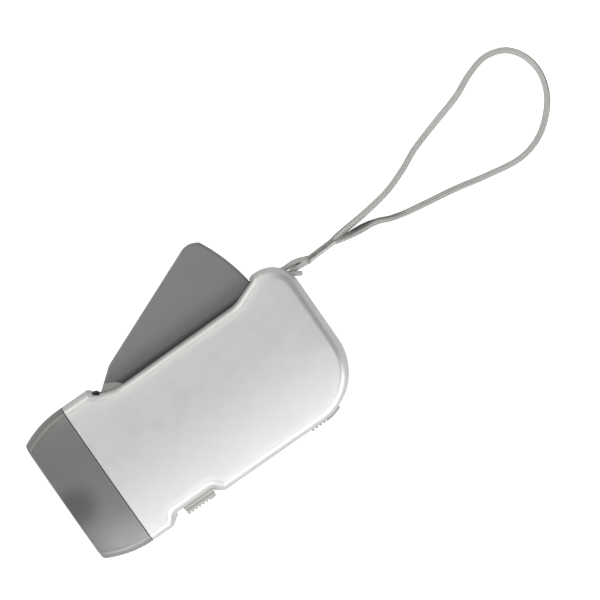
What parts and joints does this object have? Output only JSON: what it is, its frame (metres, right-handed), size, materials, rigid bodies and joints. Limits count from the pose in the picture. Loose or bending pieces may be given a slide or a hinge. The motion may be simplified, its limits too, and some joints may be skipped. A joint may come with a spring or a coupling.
{
  "type": "hand press dynamo torch",
  "caption": "Flat torch with a squeeze lever on its long edge that spins a geared magnet generator for two lamps behind a smoked head, with a wrist strap.",
  "frame": {"origin": "on the flat back face that the torch rests on, midway across the casing and two fifths of its length from the head seam", "axes": "+X along the casing towards the tail and the strap, +Y towards the lever edge, +Z from the back face to the front face"},
  "size_m": [0.2059, 0.0717, 0.023],
  "materials": {
    "silver_casing": "satin silver coating on moulded plastic",
    "smoked_plastic": "smoked translucent, glossy",
    "clear_lens": "clear moulded plastic",
    "bright_mirror": "bright metallised",
    "lamp_epoxy": "water clear epoxy",
    "board_green": "coated glass fibre board",
    "lever_grey": "dark grey moulded, satin",
    "steel": "bright drawn",
    "gear_nylon": "natural moulded",
    "ferrite": "dull dark ceramic magnet",
    "copper_wire": "enamelled winding wire",
    "black_plastic": "moulded",
    "slider_grey": "light grey moulded",
    "strap_weave": "woven flat cord"
  },
  "bodies": {
    "housing": {"front_shell": "silver_casing", "back_shell": "silver_casing", "head_cover": "smoked_plastic", "front_lens": "clear_lens", "reflector": "bright_mirror", "lamp_lower": "lamp_epoxy", "lamp_upper": "lamp_epoxy", "lamp_board": "board_green", "lever_pin": "steel", "lever_spring": "steel", "first_axle": "steel", "second_axle": "steel", "stator_core": "steel", "coil_bobbin": "gear_nylon", "coil_winding": "copper_wire", "slide_switch": "black_plastic", "battery_cell": "steel", "cell_contact_front": "steel", "cell_contact_back": "steel", "casing_screw_1": "steel", "casing_screw_2": "steel", "casing_screw_3": "steel", "casing_screw_4": "steel", "casing_screw_5": "steel", "strap_anchor_loop": "strap_weave", "strap_ferrule": "bright_mirror", "wrist_strap": "strap_weave"},
    "lever": {"squeeze_lever": "lever_grey"},
    "first_wheel": {"first_gear": "gear_nylon"},
    "second_wheel": {"second_gear": "gear_nylon"},
    "rotor": {"rotor_shaft": "steel", "rotor_pinion": "gear_nylon", "rotor_flywheel": "steel", "rotor_magnet": "ferrite"},
    "power_knob": {"power_slider": "slider_grey"},
    "lever_latch": {"lock_slider": "slider_grey"}
  },
  "joints": [
    {"name": "lever_squeeze", "type": "hinge", "parent": "housing", "child": "lever", "pos_m": [-0.01962, 0.01715, 0.0115], "axis": [0, 0, -1], "range_deg": [0, 22.5], "stiffness_Nm_per_rad": 0.08, "springref_deg": -20.05, "deforming": ["lever_spring"]},
    {"name": "first_gear_spin", "type": "hinge", "parent": "housing", "child": "first_wheel", "pos_m": [0.02155, -0.00753, 0.0115], "axis": [0, 0, -1], "range_deg": [-250, 0]},
    {"name": "second_gear_spin", "type": "hinge", "parent": "housing", "child": "second_wheel", "pos_m": [0.00678, -0.01017, 0.0115], "axis": [0, 0, -1], "continuous": true},
    {"name": "rotor_spin", "type": "hinge", "parent": "housing", "child": "rotor", "pos_m": [-0.00752, -0.00565, 0.0115], "axis": [0, 0, -1], "continuous": true},
    {"name": "power_slide", "type": "slide", "parent": "housing", "child": "power_knob", "axis": [-1, 0, 0], "range_m": [0, 0.0025]},
    {"name": "latch_slide", "type": "slide", "parent": "housing", "child": "lever_latch", "axis": [1, 0, 0], "range_m": [0, 0.003]}
  ],
  "couplings": [
    {"joint": "first_gear_spin", "follows": "lever_squeeze", "ratio": -11},
    {"joint": "second_gear_spin", "follows": "lever_squeeze", "ratio": 44},
    {"joint": "rotor_spin", "follows": "lever_squeeze", "ratio": -176}
  ]
}
